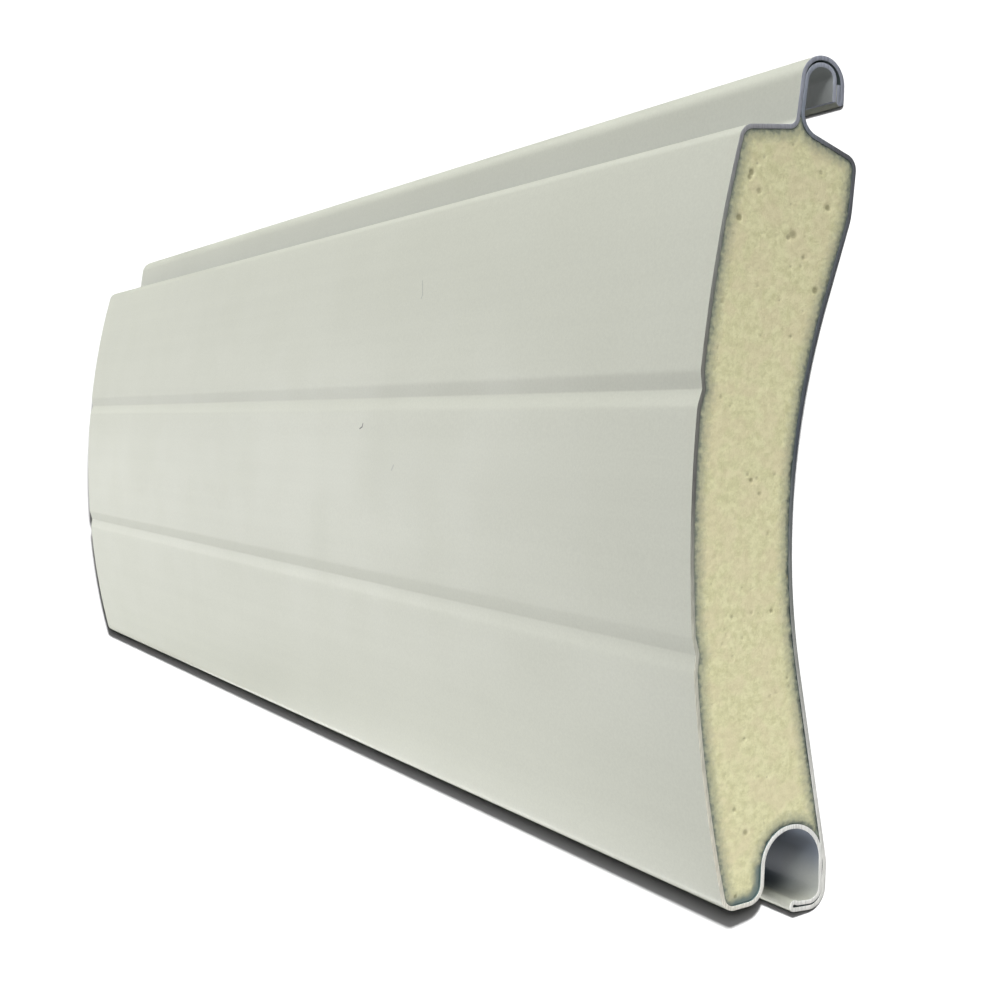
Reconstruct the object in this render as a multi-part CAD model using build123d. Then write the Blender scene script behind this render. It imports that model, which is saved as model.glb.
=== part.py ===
from build123d import *
from math import acos, asin, atan2, cos, degrees, radians, sin, sqrt, tan
import os

# Insulated roller shutter slat, cut to a short length and lying on its back.
# One painted aluminium strip is roll-formed into a closed shell: a hook along one edge, a bowed front
# with two beads, a rounded toe, a channel with a hemmed lip, and a hollow back. Rigid foam fills it.
# Sizes are in millimetres and angles in degrees. X runs along the slat, Y from the toe to the hook and
# Z out of the front face. The back rests on Z = 0, and Y = 0 is at the toe until the slat is centred.

# Stock: cut length, thickness of the strip, and the gap left between folded layers
length = 227.0
sheet = 0.45
seam = 0.08

# Front face: a bow with evenly spaced beads, from the toe to the front shoulder
cover = 77.0
crown_height = 19.1
crown_from_toe = 41.5
front_radius = 147.0
front_corner_radius = 1.75
front_shoulder_slope = 7.2
bead_count = 2
bead_width = 3.4
bead_depth = 0.24
bead_bend = 0.9
bead_ease = 0.35

# Toe: the rounded lower edge in front of the channel
toe_front_radius = 1.6
toe_back_radius = 2.1
toe_slope = 6.0

# Channel: the round pocket that takes the hook of the slat below, and the hemmed lip that it grips
channel_depth = 7.6
channel_radius = 3.45
channel_flat = 0.13
channel_flare = 2.6
channel_corner_radius = 1.2
lip_drop = 0.96
lip_slot = 3.48

# Back: two ridges that it lies on, with a hollow between them
hollow_apex_y = 42.44
hollow_apex_height = 8.95
hollow_radius = 71.0
channel_back_bend = 6.0
ridge_to_shoulder = 1.7
ridge_land = 5.92
ridge_slope = 4.4
ridge_bend = 8.0
ridge_radius = 1.6
back_shoulder_slope = 18.1

# Neck and hook: two layers of strip, with the front one hemmed round the end of the back one
hook_height = 8.0
hook_floor_gap = 2.14
hook_radius = 2.74
hook_flat = 0.1
hook_lip = 4.7
hook_crescent = 0.28
hook_tuck = 0.34
hem_reach = 2.1
neck_front_lean = 6.2
neck_back_lean = 2.4
neck_front_bend = 0.9
neck_back_bend = 1.3

# Foam: it stops short of the neck and of the seam behind the channel
foam_above_shoulder = 1.6
foam_wedge = 0.3

double = 2 * sheet + seam
shortest_run = 1e-5


def heading(angle):
    """The direction at this angle, turned from +Y towards +Z."""
    return Vector(cos(radians(angle)), sin(radians(angle)))


def left_of(direction):
    """The direction a quarter turn to the left."""
    return Vector(-direction.Y, direction.X)


def crossing(point, direction, other_point, other_direction):
    """Where two straight lines meet."""
    across = left_of(other_direction)
    return point + direction * ((other_point - point).dot(across) / direction.dot(across))


def turn_at(before, corner, after):
    """The angle in radians that a run turns at a corner, positive to the left."""
    into = corner - before
    out = after - corner
    return atan2(into.X * out.Y - into.Y * out.X, into.dot(out))


def inset(bends, distance):
    """The same run of (corner, radius), moved to its left by distance, with its bends concentric."""
    corners = [corner for corner, radius in bends]
    first_side = left_of((corners[1] - corners[0]).normalized())
    last_side = left_of((corners[-1] - corners[-2]).normalized())
    moved = [(corners[0] + first_side * distance, 0)]
    for before, (corner, radius), after in zip(corners, bends[1:], corners[2:]):
        side = left_of((corner - before).normalized())
        next_side = left_of((after - corner).normalized())
        shift = (side + next_side) * (distance / (1 + side.dot(next_side)))
        towards_centre = turn_at(before, corner, after) > 0
        moved.append((corner + shift, radius - distance if towards_centre else radius + distance))
    return moved + [(corners[-1] + last_side * distance, 0)]


def run_edges(bends):
    """Straight edges joined by tangent arcs, one arc at each corner between the two ends."""
    edges = []
    start = bends[0][0]
    for (before, _), (corner, radius), (after, _) in zip(bends, bends[1:], bends[2:]):
        into = (corner - before).normalized()
        out = (after - corner).normalized()
        setback = radius * tan(abs(turn_at(before, corner, after)) / 2)
        arc_start = corner - into * setback
        arc_end = corner + out * setback
        if (arc_start - start).length > shortest_run:
            edges.append(Edge.make_line(start, arc_start))
        edges.append(Edge.make_tangent_arc(arc_start, into, arc_end))
        start = arc_end
    return edges + [Edge.make_line(start, bends[-1][0])]


def closed_face(*runs):
    """The face inside runs of edges that follow each other, joined end to start by straight edges."""
    edges = []
    for run, following in zip(runs, runs[1:] + runs[:1]):
        edges += run + [Edge.make_line(run[-1] @ 1, following[0] @ 0)]
    return Face(Wire(edges))


def front_point(y):
    """The point of the bowed front face at this distance from the toe."""
    rise = sqrt(front_radius**2 - (y - crown_from_toe) ** 2)
    return Vector(y, crown_height - front_radius + rise)


def front_heading(y):
    """The direction of the bowed front face at this distance, on the way from the hook to the toe."""
    return heading(180 + degrees(asin((crown_from_toe - y) / front_radius)))


def front_panel(y_from, y_to):
    """The bend of the bow between two points, easing into a straight at each."""
    corner = crossing(front_point(y_from), front_heading(y_from), front_point(y_to), front_heading(y_to))
    turn = asin((y_from - crown_from_toe) / front_radius) - asin((y_to - crown_from_toe) / front_radius)
    run = (corner - front_point(y_from)).length
    return corner, (run - bead_ease) / tan(turn / 2)


def front_bends(y_top, y_bottom):
    """The panels of the front face and the shallow beads rolled between them."""
    bends = []
    y_from = y_top
    for step in range(bead_count, 0, -1):
        bead_y = cover * step / (bead_count + 1)
        upper_edge = bead_y + bead_width / 2
        lower_edge = bead_y - bead_width / 2
        bends.append(front_panel(y_from, upper_edge))
        bends.append((front_point(upper_edge), bead_bend))
        bends.append((front_point(bead_y) - Vector(0, bead_depth), bead_bend))
        bends.append((front_point(lower_edge), bead_bend))
        y_from = lower_edge
    return bends + [front_panel(y_from, y_bottom)]


def bend_pair(lean):
    """How far apart two bends of radius one stand when they turn a run right round, less the lean."""
    return 1 + tan(radians(90 - lean) / 2)


# Front face, with the straight runs that its corner and toe need at its two ends
front_top = cover - 1.25 * front_corner_radius
front_bottom = 1.9 * toe_front_radius
shoulder = crossing(front_point(front_top), front_heading(front_top), Vector(cover, 0), heading(90))
toe = crossing(front_point(front_bottom), front_heading(front_bottom), Vector(0, 0), heading(90))

# Hook and front of the neck, from the hidden end of the hem to the front shoulder
hook_top = cover + hook_height
lip_end = hook_top - hook_lip
hook_width = hook_radius * bend_pair(neck_front_lean) + hook_flat
neck_corner = Vector(hook_top, hook_floor_gap + hook_width)
neck_foot = crossing(
    neck_corner, heading(180 - neck_front_lean), shoulder, heading(90 + front_shoulder_slope)
)
hook_bends = [
    (Vector(lip_end + hem_reach, hook_floor_gap + double), 0),
    (Vector(lip_end, hook_floor_gap + double), double / 2),
    (Vector(lip_end, hook_floor_gap), double / 2),
    (Vector(hook_top, hook_floor_gap), hook_radius),
    (neck_corner, hook_radius),
    (neck_foot, neck_front_bend),
    (shoulder, front_corner_radius),
]

# Toe and channel, up the wall between them, over the arch and down to the lip
lip_top = double - lip_drop
channel_back = double + (channel_depth - lip_top) * tan(radians(channel_flare))
channel_front = channel_back + channel_radius * bend_pair(channel_flare) + channel_flat
toe_back = crossing(toe, heading(toe_slope - 90), Vector(0, channel_front), heading(0))
lip_front = channel_front - lip_slot
channel_bends = [
    (toe, toe_front_radius),
    (toe_back, toe_back_radius),
    (Vector(channel_depth, channel_front), channel_radius),
    (Vector(channel_depth, channel_back), channel_radius),
    (Vector(lip_top, double), channel_corner_radius),
]
lip_bends = [
    (Vector(lip_top, lip_front), double / 2),
    (Vector(-lip_drop, lip_front), double / 2),
    (Vector(-lip_drop, 0), channel_corner_radius + double),
]

# Back wall, drawn tight over the channel arch, up the hollow and over the ridge to the neck
arch_centre = Vector(
    channel_depth - channel_radius, channel_back + channel_radius * (bend_pair(channel_flare) - 1)
)
hollow_apex = Vector(hollow_apex_y, hollow_apex_height)
to_arch = arch_centre - hollow_apex
back_angle = degrees(atan2(to_arch.Y, to_arch.X) + asin((channel_radius + double) / to_arch.length))
channel_heel = crossing(hollow_apex, heading(back_angle), Vector(0, 0), heading(0))
ridge_setback = ridge_radius * tan(radians(90 - back_shoulder_slope + ridge_slope) / 2)
ridge_height = ridge_radius * (1 - cos(radians(ridge_slope))) - ridge_setback * sin(radians(ridge_slope))
ridge = Vector(cover - ridge_to_shoulder, ridge_height)
mouth_top = hook_top - 2 * sheet - hook_crescent
mouth_back = hook_floor_gap + 3 * sheet + 2 * seam
mouth_front = crossing(
    neck_corner, heading(180 - neck_front_lean), Vector(mouth_top, 0), heading(90)
) - Vector(0, double)
mouth_radius = (mouth_front.Y - mouth_back - hook_flat / 2) / bend_pair(neck_back_lean)
neck_root = crossing(
    ridge, heading(90 - back_shoulder_slope), mouth_front, heading(-neck_back_lean)
)
back_bends = [
    (channel_heel, channel_back_bend),
    (hollow_apex, hollow_radius),
    (ridge - heading(-ridge_slope) * ridge_land, ridge_bend),
    (ridge, ridge_radius),
    (neck_root, neck_back_bend),
    (mouth_front, mouth_radius),
    (Vector(mouth_top, mouth_back), mouth_radius),
    (Vector(lip_end + hook_tuck, mouth_back), 0),
]

# Section of the strip: its painted face is the right side of this run, all the way round
strip_bends = hook_bends + front_bends(front_top, front_bottom) + channel_bends + lip_bends + back_bends
skin_section = closed_face(run_edges(strip_bends), run_edges(inset(strip_bends, sheet)[::-1]))

# Section of the foam: the space inside the strip, up to the neck and down to the seam behind the arch
front_side = hook_bends[4:] + front_bends(front_top, front_bottom) + channel_bends
back_side = lip_bends[-1:] + back_bends[:6]
cavity = closed_face(run_edges(inset(front_side, sheet)), run_edges(inset(back_side, sheet)))
arch_outside = channel_radius + sheet
wedge_angle = back_angle + 90 + degrees(acos((arch_outside + seam) / (arch_outside + foam_wedge)))
beyond = cover
behind_arch = Polyline(
    arch_centre,
    arch_centre + heading(wedge_angle) * beyond,
    Vector(-beyond, -beyond),
    Vector(-beyond, arch_centre.Y),
    close=True,
)
neck_gap = Pos(cover + foam_above_shoulder + beyond / 2, 0) * Rectangle(beyond, beyond)
foam_section = cavity - make_face(behind_arch) - neck_gap

# Both pieces run the whole length, centred along it and from the lip to the top of the hook
end_plane = Plane(origin=(-length / 2, -(hook_top - lip_drop) / 2, 0), x_dir=(0, 1, 0), z_dir=(1, 0, 0))
pieces = {
    "aluminium_skin": extrude(end_plane * skin_section, amount=length, dir=(1, 0, 0)),
    "foam_core": extrude(end_plane * foam_section, amount=length, dir=(1, 0, 0)),
}

os.makedirs("parts", exist_ok=True)
for name, piece in pieces.items():
    export_step(piece, f"parts/{name}.step")
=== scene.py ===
import random
from math import acos, ceil, copysign, cos, radians, sin

import bmesh
import bpy
from mathutils import Matrix, Vector, noise
from mathutils.kdtree import KDTree


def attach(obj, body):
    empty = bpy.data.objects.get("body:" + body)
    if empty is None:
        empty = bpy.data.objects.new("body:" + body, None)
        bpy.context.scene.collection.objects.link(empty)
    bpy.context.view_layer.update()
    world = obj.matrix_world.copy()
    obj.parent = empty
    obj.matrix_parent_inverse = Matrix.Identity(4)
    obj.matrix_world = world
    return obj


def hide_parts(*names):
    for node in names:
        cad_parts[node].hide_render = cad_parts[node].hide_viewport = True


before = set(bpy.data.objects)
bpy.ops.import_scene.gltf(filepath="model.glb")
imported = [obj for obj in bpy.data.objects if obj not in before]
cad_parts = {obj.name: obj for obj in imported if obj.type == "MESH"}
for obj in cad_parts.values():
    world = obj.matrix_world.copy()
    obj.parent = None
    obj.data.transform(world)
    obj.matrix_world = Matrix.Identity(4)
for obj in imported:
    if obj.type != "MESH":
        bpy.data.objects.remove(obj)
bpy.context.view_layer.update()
bpy.ops.object.select_all(action="DESELECT")

# Painted strip
# The shell of the slat is one aluminium strip, 0.45 mm thick and coated on the coil. A roll former bends it
# a little at a time, hems and hooks its edges and closes it round the foam. Here too one edge is led round
# it bend by bend, from the hidden end of the hem in the hook to the hidden edge inside the hook.
mm = 0.001
slat_length = 227
slat_end = slat_length / 2
strip_thickness = 0.45
strip_start_y = 40.38
strip_start_z = 3.12
first_run = 1.61
bends_in_order = [
    # degrees turned, radius on the painted face, straight run that follows
    ("hem round the hidden edge", 90, 0.49, 0),
    ("hem, second half", 90, 0.49, 1.47),
    ("hook, back corner", 90, 2.74, 0.1),
    ("hook, front corner", 83.8, 2.74, 4.0456),
    ("foot of the neck", -76.6, 0.9, 4.6717),
    ("front shoulder", 69.7021, 1.75, 1.3773),
    ("upper panel", 8.598, 142.344, 0.0489),
    ("upper bead, near lip", 13.2076, 2.6, 1.3239),
    ("upper bead, floor", -24.9499, 0.5, 1.346),
    ("upper bead, far lip", 13.0705, 2.6, 0.0521),
    ("middle panel", 8.689, 142.393, 0.0543),
    ("lower bead, near lip", 12.9755, 2.6, 1.3603),
    ("lower bead, floor", -24.8362, 0.5, 1.325),
    ("lower bead, far lip", 13.1937, 2.6, 0.0494),
    ("lower panel", 8.3167, 142.186, 2.1372),
    ("toe, front", 80.833, 1.6, 1.7284),
    ("toe, back", 84.0, 2.1, 1.7384),
    ("channel arch, front", -90, 3.45, 0.13),
    ("channel arch, back", -87.4, 3.45, 2.9152),
    ("channel, foot of the back wall", -92.6, 1.2, 1.321),
    ("lip, eased from its hem", -20, 0.6, 0.194),
    ("hem of the lip", 200, 0.62, 1.8654),
    ("heel", 90, 2.18, 1.9261),
    ("back of the channel", 13.0518, 6.0, 19.4407),
    ("hollow of the back", -30.7215, 71.0, 7.8573),
    ("foot of the ridge", 13.2697, 8.0, 3.7326),
    ("ridge", 76.3, 1.6, 4.5908),
    ("root of the neck", -78.1, 2.2, 2.7957),
    ("inside the hook, front", -83.8, 1.79, 0.097),
    ("inside the hook, tip", -15, 1.79, 0),
    ("inside the hook, back", -75, 1.0756, 2.08),
]
bend_roundness = 0.004
length_divisions = 76
cuts_by_the_end = (0.12, 0.35, 0.8, 1.6)
front_starts = 30
front_ends = 96
front_ramp = 8
oil_canning = 0.07
oil_canning_length = 34
saw_chatter = 0.03
saw_chatter_length = 5
saw_chatter_reach = 3
deburring = 0.03
merge_distance = 0.001


def across(angle):
    """The direction across the slat at this angle, turned from +Y towards +Z."""
    return Vector((0, cos(radians(angle)), sin(radians(angle))))


def fade(value, start, end):
    """0 up to start and 1 from end on, with a smooth rise between."""
    share = min(max((value - start) / (end - start), 0), 1)
    return share * share * (3 - 2 * share)


def only_active(piece):
    """This piece alone is selected and active."""
    bpy.ops.object.select_all(action="DESELECT")
    piece.select_set(True)
    bpy.context.view_layer.objects.active = piece


def pick(piece, kind, wanted):
    """In edit mode, selects the vertices, edges or faces for which wanted is true."""
    bpy.ops.mesh.select_all(action="DESELECT")
    bpy.ops.mesh.select_mode(type=kind)
    shape = bmesh.from_edit_mesh(piece.data)
    for part in {"VERT": shape.verts, "EDGE": shape.edges, "FACE": shape.faces}[kind]:
        if wanted(part):
            part.select_set(True)
    bmesh.update_edit_mesh(piece.data)


def weigh(piece, name, amount_at):
    """Gives the piece a vertex group with the amount, 0 to 1, that amount_at finds for each vertex."""
    group = piece.vertex_groups.new(name=name)
    for vertex in piece.data.vertices:
        amount = amount_at(vertex)
        if amount > 0:
            group.add([vertex.index], min(amount, 1), "REPLACE")


def roughen(piece, group, size, depth, direction):
    """Sinks a vertex group against this direction in soft patches of this size and depth, in mm."""
    texture = bpy.data.textures.new(group, "CLOUDS")
    texture.noise_scale = size * mm
    uneven = piece.modifiers.new(group, "DISPLACE")
    uneven.texture = texture
    uneven.texture_coords = "LOCAL"
    uneven.vertex_group = group
    uneven.direction = direction
    uneven.strength = depth * mm
    uneven.mid_level = 1
    bpy.ops.object.modifier_apply(modifier=uneven.name)


bpy.ops.mesh.primitive_grid_add(x_subdivisions=length_divisions, y_subdivisions=1, size=1)
strip = bpy.context.object
strip.name = "painted_strip"
bpy.ops.object.mode_set(mode="EDIT")
bpy.ops.transform.resize(value=(slat_length * mm, first_run * mm, 1))
bpy.ops.transform.translate(value=(0, (strip_start_y - first_run / 2) * mm, strip_start_z * mm))
for side in (1, -1):
    for inwards in cuts_by_the_end:
        bpy.ops.mesh.select_all(action="SELECT")
        cut_x = side * (slat_end - inwards) * mm
        bpy.ops.mesh.bisect(plane_co=(cut_x, 0, 0), plane_no=(1, 0, 0), threshold=merge_distance * mm)
leading_y = (strip_start_y - first_run) * mm
tolerance = 0.01 * mm
pick(strip, "EDGE", lambda edge: all(abs(v.co.y - leading_y) < tolerance for v in edge.verts))

heading = 180.0
along_strip = first_run
leading_edge = Vector((0, strip_start_y - first_run, strip_start_z))
stations = [(Vector((0, strip_start_y, strip_start_z)), 0.0), (leading_edge.copy(), first_run)]
for _, turn, radius, run in bends_in_order:
    to_centre = copysign(radius, turn)
    centre = leading_edge + across(heading + 90) * to_centre
    steps = ceil(radians(abs(turn)) / (2 * acos(1 - bend_roundness / radius)))
    bpy.ops.mesh.spin(steps=steps, angle=-radians(turn), center=centre * mm, axis=(1, 0, 0))
    for _ in range(steps):
        heading += turn / steps
        along_strip += radians(abs(turn)) * radius / steps
        leading_edge = centre - across(heading + 90) * to_centre
        stations.append((leading_edge.copy(), along_strip))
    if run:
        straight = across(heading) * run
        bpy.ops.mesh.extrude_region_move(TRANSFORM_OT_translate={"value": straight * mm})
        leading_edge += straight
        along_strip += run
        stations.append((leading_edge.copy(), along_strip))
bpy.ops.mesh.select_all(action="SELECT")
bpy.ops.mesh.remove_doubles(threshold=merge_distance * mm)
bpy.ops.object.mode_set(mode="OBJECT")

# Each point of the strip keeps its place across the coil, which its finish reads
station_finder = KDTree(len(stations))
for index, (point, distance) in enumerate(stations):
    station_finder.insert(point * mm, index)
station_finder.balance()
coil_place = strip.data.attributes.new("coil_place", "FLOAT", "POINT")
for vertex in strip.data.vertices:
    station = station_finder.find((0, vertex.co.y, vertex.co.z))[1]
    coil_place.data[vertex.index].value = stations[station][1]
place_of = [entry.value for entry in coil_place.data]

weigh(
    strip,
    "front panels",
    lambda v: fade(place_of[v.index], front_starts, front_starts + front_ramp)
    * fade(place_of[v.index], front_ends, front_ends - front_ramp),
)
roughen(strip, "front panels", oil_canning_length, oil_canning, "Z")
weigh(
    strip,
    "beside the saw",
    lambda v: fade(abs(v.co.x), (slat_end - saw_chatter_reach) * mm, slat_end * mm),
)
roughen(strip, "beside the saw", saw_chatter_length, saw_chatter, "NORMAL")

thickness = strip.modifiers.new("thickness of the strip", "SOLIDIFY")
thickness.thickness = strip_thickness * mm
thickness.offset = -1
thickness.use_even_offset = True
thickness.material_offset = 1
thickness.material_offset_rim = 2


def new_finish(name):
    """Makes a material, and gives it, its node tree, its shader and the place on the piece in mm."""
    material = bpy.data.materials.new(name)
    material.use_nodes = True
    tree = material.node_tree
    coordinates = tree.nodes.new("ShaderNodeTexCoord")
    in_mm = tree.nodes.new("ShaderNodeMapping")
    in_mm.inputs["Scale"].default_value = (1000, 1000, 1000)
    tree.links.new(coordinates.outputs["Object"], in_mm.inputs["Vector"])
    return material, tree, tree.nodes["Principled BSDF"], in_mm.outputs["Vector"]


def node(tree, kind, inputs=None, **settings):
    """Adds a shader node. An input is a number, a colour or the output of another node."""
    made = tree.nodes.new("ShaderNode" + kind)
    for key, value in settings.items():
        setattr(made, key, value)
    for key, value in (inputs or {}).items():
        if isinstance(value, bpy.types.NodeSocket):
            tree.links.new(value, made.inputs[key])
        else:
            made.inputs[key].default_value = value
    return made


def mottle(tree, place, scale, detail=3.0, roughness=0.5):
    """A noise of this many features a millimetre at this place."""
    wanted = {"Vector": place, "Scale": scale, "Detail": detail, "Roughness": roughness}
    return node(tree, "TexNoise", wanted).outputs["Fac"]


def spread(tree, value, low, high, to_low=0.0, to_high=1.0):
    """Stretches a value from the range low to high over the range to_low to to_high, and no further."""
    wanted = {0: value, 1: low, 2: high, 3: to_low, 4: to_high}
    return node(tree, "MapRange", wanted, interpolation_type="SMOOTHSTEP").outputs[0]


def times(tree, first, second):
    """One value multiplied by another."""
    return node(tree, "Math", {0: first, 1: second}, operation="MULTIPLY").outputs[0]


def blend(tree, amount, first, second, way="MIX"):
    """The first colour, turned into the second by this amount."""
    wanted = {0: amount, 6: first, 7: second}
    return node(tree, "Mix", wanted, data_type="RGBA", blend_type=way).outputs[2]


def tones(tree, value, stops):
    """A colour for a value between 0 and 1, from (value, colour) stops."""
    ramp = node(tree, "ValToRGB", {0: value})
    for index, (position, colour) in enumerate(stops):
        stop = ramp.color_ramp.elements[index] if index < 2 else ramp.color_ramp.elements.new(position)
        stop.position = position
        stop.color = colour
    return ramp.outputs["Color"]


def coil_places(tree):
    """The place across the coil, in mm from the strip's first edge."""
    return node(tree, "Attribute", attribute_name="coil_place").outputs["Fac"]


def streaks(tree, place, fineness):
    """Noise drawn out along the slat, as the rolls leave it."""
    long_way = node(tree, "SeparateXYZ", {0: place}).outputs[0]
    drawn_out = times(tree, long_way, 0.012)
    drawn = node(tree, "CombineXYZ", {0: drawn_out, 1: coil_places(tree)}).outputs[0]
    return mottle(tree, drawn, fineness, 3)


def mark(tree, place, start, end, half_width):
    """1 on a straight mark between two points of the slat, in mm, and 0 off it."""
    run = Vector(end) - Vector(start)
    from_start = node(tree, "VectorMath", {0: place, 1: start}, operation="SUBTRACT").outputs[0]
    onto = node(tree, "VectorMath", {0: from_start, 1: run / run.length_squared}, operation="DOT_PRODUCT")
    share = node(tree, "Clamp", {0: onto.outputs["Value"]}).outputs[0]
    reached = node(tree, "VectorMath", {0: run, "Scale": share}, operation="SCALE").outputs[0]
    gap = node(tree, "VectorMath", {0: from_start, 1: reached}, operation="SUBTRACT").outputs[0]
    distance = node(tree, "VectorMath", {0: gap}, operation="LENGTH").outputs["Value"]
    return spread(tree, distance, half_width * 0.4, half_width * 1.3, 1, 0)


darker_paint = (0.575, 0.59, 0.505, 1)
lighter_paint = (0.625, 0.64, 0.554, 1)
# Bluish painted shade, laid on in the channel, the corner below the hook and the hook
bluish_painted_shade = (0.265, 0.31, 0.405, 1)
deep_shade = (0.09, 0.11, 0.15, 1)
scratch = (0.40, 0.42, 0.37, 1)
swarf = (0.06, 0.065, 0.06, 1)
rub = (0.46, 0.47, 0.42, 1)

paint, tree, shader, place = new_finish("coil paint")
cloudy = mottle(tree, place, 0.03, 2)
colour = blend(tree, cloudy, darker_paint, lighter_paint)
rolled = spread(tree, streaks(tree, place, 0.5), 0.35, 0.65, 0.992, 1.006)
colour = blend(tree, 1.0, colour, rolled, "MULTIPLY")
grit = spread(tree, mottle(tree, place, 3.2, 4, 0.7), 0.3, 0.7, 0.965, 1.03)
colour = blend(tree, 1.0, colour, grit, "MULTIPLY")

# Bluish painted shade in the channel, in the corner below the hook and in the hook, by the place across the
# coil
into_the_channel = spread(tree, coil_places(tree), 104, 107)
up_its_back_wall = spread(tree, coil_places(tree), 119, 123, 1, 0.3)
as_far_as_its_foot = spread(tree, coil_places(tree), 123, 125.5, 1, 0)
in_the_channel = times(tree, into_the_channel, times(tree, up_its_back_wall, as_far_as_its_foot))
down_the_hook = spread(tree, coil_places(tree), 11.5, 17, 0, 0.08)
in_the_corner = times(tree, down_the_hook, spread(tree, coil_places(tree), 18.5, 22, 1, 0))
in_the_hook = spread(tree, coil_places(tree), 213, 218, 0, 0.5)
outside = node(tree, "Math", {0: in_the_channel, 1: in_the_corner}, operation="ADD").outputs[0]
painted_shade_amount = node(tree, "Math", {0: outside, 1: in_the_hook}, operation="ADD").outputs[0]
colour = blend(tree, times(tree, painted_shade_amount, 0.9), colour, bluish_painted_shade)

# Painted shade: the channel is darker away from its sawn ends, as far as its floor
along_slat = node(tree, "SeparateXYZ", {0: place}).outputs[0]
from_middle = node(tree, "Math", {0: along_slat}, operation="ABSOLUTE").outputs[0]
away_from_the_ends = spread(tree, from_middle, slat_end - 8, slat_end, 0.92, 0)
as_far_as_its_floor = spread(tree, coil_places(tree), 125.8, 126.8, 1, 0)
deep_in_the_channel = times(tree, into_the_channel, times(tree, as_far_as_its_floor, away_from_the_ends))
colour = blend(tree, deep_in_the_channel, colour, deep_shade)

# Small marks on the front panels, near the sawn end: tone, start, end and half the width
for tone, start, end, half_width in [
    (scratch, (49.77, 24.75, 16.91), (50.57, 22.81, 17.24), 0.11),
    (scratch, (50.57, 22.81, 17.24), (50.3, 22.37, 17.31), 0.11),
    (swarf, (36.61, 5.71, 18.97), (36.45, 5.29, 18.99), 0.13),
    (swarf, (36.45, 5.29, 18.99), (35.64, 5.03, 19.0), 0.11),
    (rub, (47.25, 0.18, 19.1), (46.71, -0.44, 19.1), 0.16),
]:
    colour = blend(tree, mark(tree, place, start, end, half_width), colour, tone)
satin = spread(tree, mottle(tree, place, 0.08, 3), 0.3, 0.7, 0.36, 0.45)
orange_peel = mottle(tree, place, 1.3, 2)
peel_bump = node(tree, "Bump", {"Height": orange_peel, "Strength": 1.0, "Distance": 0.004 * mm})
tree.links.new(colour, shader.inputs["Base Color"])
tree.links.new(satin, shader.inputs["Roughness"])
tree.links.new(peel_bump.outputs["Normal"], shader.inputs["Normal"])

back_coat, tree, shader, place = new_finish("back coat")
thin_coat = (0.07, 0.095, 0.10, 1)
thick_coat = (0.13, 0.165, 0.17, 1)
coat_by_the_channel = (0.14, 0.22, 0.22, 1)
colour = blend(tree, mottle(tree, place, 0.6, 3), thin_coat, thick_coat)
by_the_channel = spread(tree, coil_places(tree), 92, 97)
past_the_channel = spread(tree, coil_places(tree), 118, 128, 1, 0)
lighter = times(tree, by_the_channel, past_the_channel)
colour = blend(tree, lighter, colour, coat_by_the_channel)
tree.links.new(colour, shader.inputs["Base Color"])
shader.inputs["Roughness"].default_value = 0.5

cut_metal, tree, shader, place = new_finish("cut edge")
coil_width = 226.94
cut_edge_tones_and_light = [
    # place across the coil in mm, tone of the cut edge there: the metal's own grey, painted near white as a
    # highlight round the lower front, the toe and the channel, and painted dark as shade on the upper front
    # and the back
    (0, (0.319, 0.342, 0.401, 1)),
    (14, (0.401, 0.425, 0.496, 1)),
    (22, (0.378, 0.378, 0.407, 1)),
    (34, (0.307, 0.319, 0.295, 1)),
    (46, (0.236, 0.236, 0.212, 1)),
    (60, (0.183, 0.183, 0.171, 1)),
    (74, (0.59, 0.59, 0.496, 1)),
    (98, (0.779, 0.743, 0.625, 1)),
    (112, (0.97, 0.97, 0.932, 1)),
    (145, (0.767, 0.767, 0.72, 1)),
    (163, (0.295, 0.307, 0.283, 1)),
    (180, (0.0968, 0.113, 0.133, 1)),
    (212, (0.153, 0.159, 0.171, 1)),
    (218, (0.283, 0.319, 0.378, 1)),
    (coil_width, (0.496, 0.525, 0.608, 1)),
]
share_of_coil = times(tree, coil_places(tree), 1 / coil_width)
tone_stops = [(across_coil / coil_width, tone) for across_coil, tone in cut_edge_tones_and_light]
cut_edge_colour_and_light = tones(tree, share_of_coil, tone_stops)
saw_lines = node(tree, "Mapping", {"Vector": place, "Scale": (1, 0.5, 7)}).outputs["Vector"]
sawn = mottle(tree, saw_lines, 1.2, 4, 0.65)
colour = blend(tree, 1.0, cut_edge_colour_and_light, spread(tree, sawn, 0.3, 0.7, 0.8, 1.2), "MULTIPLY")
saw_bump = node(tree, "Bump", {"Height": sawn, "Strength": 0.6, "Distance": 0.02 * mm})
tree.links.new(colour, shader.inputs["Base Color"])
tree.links.new(saw_bump.outputs["Normal"], shader.inputs["Normal"])
shader.inputs["Roughness"].default_value = 0.6

for material in (paint, back_coat, cut_metal):
    strip.data.materials.append(material)
bpy.ops.object.modifier_apply(modifier=thickness.name)
deburred = strip.modifiers.new("deburred corners", "BEVEL")
deburred.width = deburring * mm
deburred.segments = 2
deburred.limit_method = "ANGLE"
deburred.angle_limit = radians(60)
deburred.material = 2
bpy.ops.object.modifier_apply(modifier=deburred.name)
bpy.ops.object.shade_smooth_by_angle(angle=radians(35))
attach(strip, "root")
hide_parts("aluminium_skin")

# Foam core
# Two liquids are poured into the shell as it closes and swell into rigid polyurethane foam, which sticks
# to the strip. The saw tears its small closed cells open, so each end is a rough, crumbly face with a few
# larger bubbles in it, and it breaks away a little along the metal.
foam_grain = 0.18
foam_cap = 0.9
foam_blank = 3.0
foam_join = 0.05
foam_grip = 0.08
bubble_count = 420
cut_share_of_bubble = 0.5
wave_size = 6
wave_depth = 0.05
lump_size = 0.9
lump_depth = 0.02
crumb_size = 0.42
crumb_depth = 0.04
crumbled_everywhere = 0.06
crumbled_more = 0.08
deepest_tear = 0.5
deepest_missing = 0.12

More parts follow.
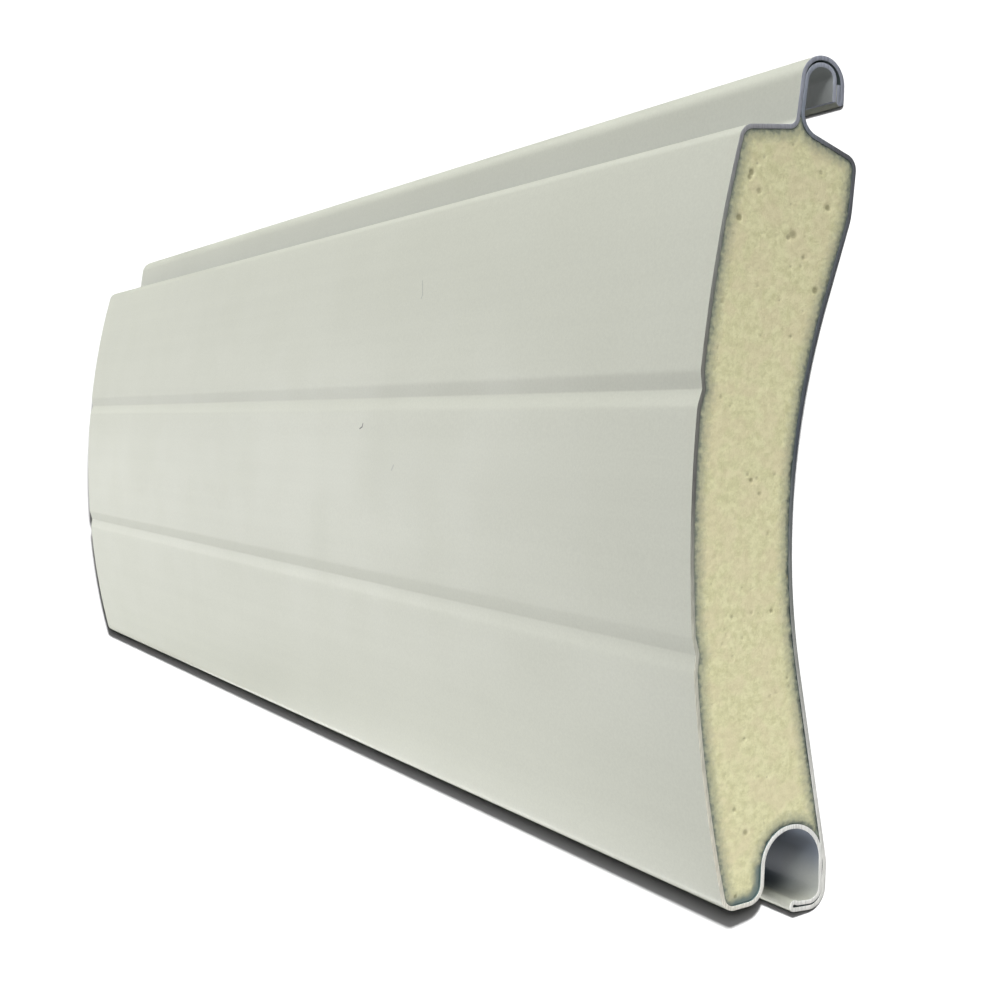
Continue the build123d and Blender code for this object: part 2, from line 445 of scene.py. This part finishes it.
foam = bpy.data.objects.new("foam_fill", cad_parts["foam_core"].data.copy())
bpy.context.scene.collection.objects.link(foam)
only_active(foam)
bpy.ops.object.mode_set(mode="EDIT")
bpy.ops.mesh.select_all(action="SELECT")
bpy.ops.mesh.remove_doubles(threshold=merge_distance * mm)
bpy.ops.mesh.select_all(action="SELECT")
blank_end = ((slat_end - foam_blank) * mm, 0, 0)
bpy.ops.mesh.bisect(plane_co=blank_end, plane_no=(1, 0, 0), use_fill=True, clear_inner=True)
bpy.ops.object.mode_set(mode="OBJECT")
grain = foam.modifiers.new("grain", "REMESH")
grain.mode = "VOXEL"
grain.voxel_size = foam_grain * mm
grain.use_smooth_shade = True
bpy.ops.object.modifier_apply(modifier=grain.name)
bpy.ops.object.mode_set(mode="EDIT")
bpy.ops.mesh.select_all(action="SELECT")
cap_end = ((slat_end - foam_cap) * mm, 0, 0)
bpy.ops.mesh.bisect(plane_co=cap_end, plane_no=(1, 0, 0), use_fill=False, clear_inner=True)
bpy.ops.mesh.select_mode(type="EDGE")
bpy.ops.mesh.select_all(action="DESELECT")
bpy.ops.mesh.select_non_manifold()
to_the_middle = (-(slat_end - foam_cap) * mm, 0, 0)
bpy.ops.mesh.extrude_region_move(TRANSFORM_OT_translate={"value": to_the_middle})
bpy.ops.object.mode_set(mode="OBJECT")
far_end = foam.modifiers.new("far end", "MIRROR")
far_end.use_axis = (True, False, False)
far_end.merge_threshold = foam_join * mm
bpy.ops.object.modifier_apply(modifier=far_end.name)

# The sides reach a little way into the metal, so that no gap shows beside it
weigh(foam, "sides", lambda v: fade(abs(v.normal.x), 0.8, 0.4))
swollen = foam.modifiers.new("swollen against the metal", "DISPLACE")
swollen.vertex_group = "sides"
swollen.strength = foam_grip * mm
swollen.mid_level = 0
bpy.ops.object.modifier_apply(modifier=swollen.name)

# How far each point of a sawn face is from the metal
bpy.context.view_layer.update()
gap_to_skin = [0.0] * len(foam.data.vertices)
from_skin = foam.data.attributes.new("from_skin", "FLOAT", "POINT")
for vertex in foam.data.vertices:
    if abs(vertex.co.x) > (slat_end - foam_cap) * mm:
        towards_skin = (strip.closest_point_on_mesh(vertex.co)[1] - vertex.co) / mm
        gap_to_skin[vertex.index] = towards_skin.length
        from_skin.data[vertex.index].value = towards_skin.length

# Bubbles cut open by the saw: small ones of random sizes and places, and those seen at the near end
chance = random.Random(77)
bubbles = []
for _ in range(bubble_count):
    x = copysign(slat_end, chance.random() - 0.5)
    y = chance.uniform(-42, 38)
    z = chance.uniform(0, 19)
    radius = chance.uniform(0.15, 0.35)
    depth = chance.uniform(0.03, 0.12)
    bubbles.append((Vector((x, y, z)), radius, depth))
for y, z, radius, depth in [
    (31.5, 4.7, 0.4, 0.12),
    (30.5, 13.4, 0.5, 0.18),
    (30.0, 13.6, 0.4, 0.16),
    (28.8, 12.4, 0.5, 0.11),
    (28.1, 3.6, 0.5, 0.17),
    (26.0, 14.7, 0.5, 0.18),
    (25.0, 7.9, 0.7, 0.12),
    (24.7, 8.5, 0.45, 0.14),
    (22.9, 6.5, 0.4, 0.12),
    (19.8, 4.8, 0.55, 0.16),
    (17.8, 16.3, 0.4, 0.10),
    (15.0, 7.7, 0.35, 0.12),
    (1.3, 12.4, 0.4, 0.10),
    (0.7, 11.9, 0.4, 0.15),
    (0.9, 11.2, 0.35, 0.10),
    (-0.6, 10.8, 0.4, 0.11),
    (-12.2, 8.7, 0.35, 0.18),
    (-14.8, 12.2, 0.3, 0.12),
    (-12.7, 13.6, 0.35, 0.12),
    (-19.0, 6.3, 0.3, 0.16),
    (-24.8, 11.4, 0.3, 0.15),
    (-31.8, 12.3, 0.4, 0.13),
    (-34.2, 10.8, 0.5, 0.13),
    (-40.5, 11.7, 0.35, 0.2),
    (-8.86, 6.67, 0.35, 0.25),
    (-9.6, 6.3, 0.25, 0.25),
]:
    bubbles.append((Vector((slat_end, y, z)), radius, depth))
bubble_finder = KDTree(len(bubbles))
for index, (centre, _, _) in enumerate(bubbles):
    bubble_finder.insert(centre * mm, index)
bubble_finder.balance()


def rough(vertex, size):
    """A fixed pattern of bumps of this size, in mm, from 0 to 1."""
    return 0.5 + 0.5 * noise.noise(vertex.co / (size * mm))


def bubble_depth(vertex):
    """How deep the nearest bubbles go at this vertex."""
    deepest = 0
    for _, index, distance in bubble_finder.find_n(vertex.co, 3):
        _, radius, depth = bubbles[index]
        deepest = max(deepest, depth * fade(distance / mm, radius, radius * 0.35))
    return deepest


def crumbled_depth(vertex):
    """How deep the foam has broken away beside the metal, most along the back and over the channel."""
    y = vertex.co.y / mm
    gap = gap_to_skin[vertex.index]
    along_back = fade(y, 14, 2) * fade(vertex.co.z / mm, 9, 7)
    over_channel = fade(y, -31.5, -33) * fade(y, -37.5, -36)
    patches = fade(0.6 * rough(vertex, 0.8) + 0.4 * rough(vertex, 0.35), 0.42, 0.60)
    depth = crumbled_everywhere + crumbled_more * max(along_back, over_channel)
    return fade(gap, 0.42, 0.12) * patches * depth


def missing_foam(vertex):
    """1 where hardly any foam reached the metal at the near end: by the channel wall and in the toe."""
    if vertex.co.x < (slat_end - foam_cap) * mm:
        return 0
    y = vertex.co.y / mm
    z = vertex.co.z / mm
    beside_wall = fade(y, -37.3, -38.2) * fade(z, 11.0, 10.0)
    in_the_toe = fade(y, -40.0, -41.0) * fade(z, 12.6, 11.6)
    gap = gap_to_skin[vertex.index] + 0.5 * (rough(vertex, 0.7) - 0.5)
    return fade(gap, 1.2, 0.2) * max(beside_wall, in_the_toe)


def torn_depth(vertex, side):
    """How deep a vertex of this end's sawn face lies, as a share of the deepest tear."""
    on_face = fade(vertex.co.x * side, (slat_end - 0.5) * mm, (slat_end - 0.15) * mm)
    if not on_face:
        return 0
    waves = wave_depth * rough(vertex, wave_size)
    lumps = lump_depth * rough(vertex, lump_size) + crumb_depth * rough(vertex, crumb_size)
    holes = max(
        cut_share_of_bubble * bubble_depth(vertex),
        crumbled_depth(vertex),
        deepest_missing * missing_foam(vertex),
    )
    return on_face * (waves + lumps + holes) / deepest_tear


for side, end_name in ((1, "near end"), (-1, "far end")):
    weigh(foam, end_name, lambda v: torn_depth(v, side))
    torn = foam.modifiers.new("torn " + end_name, "DISPLACE")
    torn.vertex_group = end_name
    torn.direction = "X"
    torn.strength = -side * deepest_tear * mm
    torn.mid_level = 0
    bpy.ops.object.modifier_apply(modifier=torn.name)

# The colour reads where foam is missing and how deep the bubbles go
missing = foam.data.attributes.new("missing", "FLOAT", "POINT")
for vertex, entry in zip(foam.data.vertices, missing.data):
    entry.value = missing_foam(vertex)
bubble = foam.data.attributes.new("bubble", "FLOAT", "POINT")
for vertex, entry in zip(foam.data.vertices, bubble.data):
    entry.value = bubble_depth(vertex)

darker_foam = (0.79, 0.765, 0.45, 1)
lighter_foam = (0.985, 0.955, 0.605, 1)
warm_foam = (0.92, 0.82, 0.55, 1)
painted_shade_by_the_metal = (0.36, 0.385, 0.29, 1)
deep_painted_shade_at_the_metal = (0.155, 0.19, 0.175, 1)
bubble_shade = (0.35, 0.33, 0.19, 1)
bare_metal_shade = (0.22, 0.29, 0.28, 1)

rigid_foam, tree, shader, place = new_finish("rigid foam")
mottled = spread(tree, mottle(tree, place, 1.2, 5, 0.7), 0.33, 0.67)
colour = blend(tree, mottled, darker_foam, lighter_foam)
warm = spread(tree, mottle(tree, place, 0.4, 3), 0.4, 0.65)
colour = blend(tree, times(tree, warm, 0.5), colour, warm_foam)
# Painted shade where the foam meets the metal: grey a little way in, dark right at the metal
from_metal = node(tree, "Attribute", attribute_name="from_skin").outputs["Fac"]
ragged = node(tree, "Math", {0: from_metal, 1: mottle(tree, place, 2.0, 3)}, operation="ADD").outputs[0]
colour = blend(tree, spread(tree, ragged, 0.5, 2.3, 0.8, 0), colour, painted_shade_by_the_metal)
colour = blend(tree, spread(tree, ragged, 0.45, 1.05, 0.8, 0), colour, deep_painted_shade_at_the_metal)
in_bubble = node(tree, "Attribute", attribute_name="bubble").outputs["Fac"]
# Painted shade in the bubbles, darker the deeper they go, as the foam is cut to only half their depth
colour = blend(tree, spread(tree, in_bubble, 0.01, 0.17, 0, 0.8), colour, bubble_shade)
missing_there = node(tree, "Attribute", attribute_name="missing").outputs["Fac"]
# The hollow where hardly any foam reached the metal is cut shallow: it gets the back coat's tone with
# painted shade
colour = blend(tree, times(tree, missing_there, 0.9), colour, bare_metal_shade)
cells = node(tree, "TexVoronoi", {"Vector": place, "Scale": 4.5}).outputs["Distance"]
crumbs = mottle(tree, place, 6.0, 4, 0.65)
torn = node(tree, "Math", {0: cells, 1: crumbs}, operation="ADD").outputs[0]
torn_bump = node(tree, "Bump", {"Height": torn, "Strength": 0.5, "Distance": 0.03 * mm})
tree.links.new(colour, shader.inputs["Base Color"])
tree.links.new(torn_bump.outputs["Normal"], shader.inputs["Normal"])
shader.inputs["Roughness"].default_value = 0.95
shader.inputs["Specular IOR Level"].default_value = 0.2
foam.data.materials.clear()
foam.data.materials.append(rigid_foam)
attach(foam, "root")
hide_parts("foam_core")

# Floor, light and camera
# The slat lies on its back on a pale floor. Two lamps beside the lens, a small one and a wider and weaker
# one, light the floor evenly and leave a narrow shadow with a soft edge along the toe. Wide soft lights and
# panels on several sides light the slat.
floor_lamp_x = 229
floor_lamp_z = 105.7

bpy.ops.mesh.primitive_plane_add(size=6)
floor = bpy.context.object
floor.name = "floor"
pale, tree, shader, place = new_finish("pale floor")
colour = blend(tree, mottle(tree, place, 0.02, 3), (0.58, 0.58, 0.58, 1), (0.61, 0.61, 0.61, 1))
tree.links.new(colour, shader.inputs["Base Color"])
shader.inputs["Roughness"].default_value = 0.9
floor.data.materials.append(pale)
floor.visible_diffuse = False
floor.visible_glossy = False

# The strip throws no light onto what is round it, as the photo's shadow is nearly black
strip.visible_diffuse = False
slat_only = bpy.data.collections.new("lit with the slat")
for piece in (strip, foam):
    slat_only.objects.link(piece)
floor_only = bpy.data.collections.new("lit with the floor")
floor_only.objects.link(floor)

for name, floor_lamp_y, radius, watts in [
    ("floor light", 18, 1.8, 640),
    ("floor light, halo", 11, 8, 105),
]:
    floor_lamp = bpy.data.lights.new(name, "POINT")
    floor_lamp.shadow_soft_size = radius * mm
    floor_lamp.energy = watts
    floor_lamp.use_nodes = True
    lamp_tree = floor_lamp.node_tree
    distance = lamp_tree.nodes.new("ShaderNodeLightPath").outputs["Ray Length"]
    even_light = node(lamp_tree, "LightFalloff", {"Strength": distance}).outputs["Constant"]
    lamp_tree.links.new(even_light, lamp_tree.nodes["Emission"].inputs["Strength"])
    holder = bpy.data.objects.new(name, floor_lamp)
    holder.location = Vector((floor_lamp_x, floor_lamp_y, floor_lamp_z)) * mm
    holder.visible_camera = False
    bpy.context.scene.collection.objects.link(holder)
    holder.light_linking.receiver_collection = floor_only


def light(lamp, place, back):
    """Puts a lamp that lights the slat alone at this place, in mm, with its back this way."""
    holder = bpy.data.objects.new(lamp.name, lamp)
    holder.location = Vector(place) * mm
    holder.rotation_euler = Vector(back).to_track_quat("Z", "Y").to_euler()
    holder.visible_camera = False
    bpy.context.scene.collection.objects.link(holder)
    holder.light_linking.receiver_collection = slat_only


for name, towards, angle, strength in [
    ("high, from the hook side", (0.2, 0.7, 0.7), 30, 0.47),
    ("high, from the hook side and the near end", (0.5, 0.65, 0.57), 15, 0.97),
    ("low, from the hook side", (0.0, 0.95, 0.3), 40, 1.29),
    ("level, from the hook side", (0.1, 0.98, 0.1), 30, 1.47),
    ("low, from the hook side and the near end", (0.75, 0.6, 0.25), 40, 0.42),
    ("high, from the far end", (-0.8, 0.1, 0.6), 50, 0.52),
    ("low, from the far end and the toe side", (-0.8, -0.55, 0.3), 30, 0.09),
]:
    lamp = bpy.data.lights.new(name, "SUN")
    lamp.angle = radians(angle)
    lamp.energy = strength
    light(lamp, (0, 0, 0), towards)

for name, place, aim, size, watts in [
    ("panel by the near end", (300, -100, 20), (113, -20, 10), (80, 80), 0.22),
    ("panel over the far end", (-200, 0, 150), (-100, 0, 15), (120, 120), 0.067),
    ("panel behind the far end", (-320, -50, 70), (-100, 0, 10), (120, 120), 0.031),
    ("strip light above the toe", (-30, -70, 100), (-30, -30, 15), (320, 40), 0.069),
    ("strip light beside the toe", (-30, -110, 25), (-30, -40, 12), (320, 30), 0.109),
    ("strip light beside the hook", (-30, 130, 30), (-30, 40, 8), (320, 30), 0.026),
]:
    lamp = bpy.data.lights.new(name, "AREA")
    lamp.shape = "RECTANGLE"
    lamp.size = size[0] * mm
    lamp.size_y = size[1] * mm
    lamp.energy = watts
    light(lamp, place, Vector(place) - Vector(aim))

# The surroundings are white where they are seen, and light the slat hardly at all
world = bpy.data.worlds.new("studio")
bpy.context.scene.world = world
world.use_nodes = True
sky_tree = world.node_tree
seen = node(sky_tree, "LightPath").outputs["Is Camera Ray"]
brightness = spread(sky_tree, seen, 0, 1, 0.01, 1)
sky = sky_tree.nodes["Background"]
sky.inputs["Color"].default_value = (1, 1, 1, 1)
sky_tree.links.new(brightness, sky.inputs["Strength"])
bpy.context.scene.view_settings.view_transform = "Standard"

# The lens stands beyond the near end and looks down along the slat, with the hook edge up in the picture
eye = Vector((229.0, 2.91, 105.71)) * mm
looking = Vector((-0.86905, -0.03418, -0.49353)).normalized()
upwards = Vector((-0.0471, 0.9988, 0.0138))
rightwards = looking.cross(upwards).normalized()
upwards = rightwards.cross(looking)
lens = bpy.data.cameras.new("camera")
lens.sensor_width = 36
lens.lens = 54
lens.clip_start = 1 * mm
lens.clip_end = 20
camera = bpy.data.objects.new("camera", lens)
turned = Matrix((rightwards, upwards, -looking)).transposed().to_4x4()
camera.matrix_world = Matrix.Translation(eye) @ turned
bpy.context.scene.collection.objects.link(camera)
bpy.context.scene.camera = camera
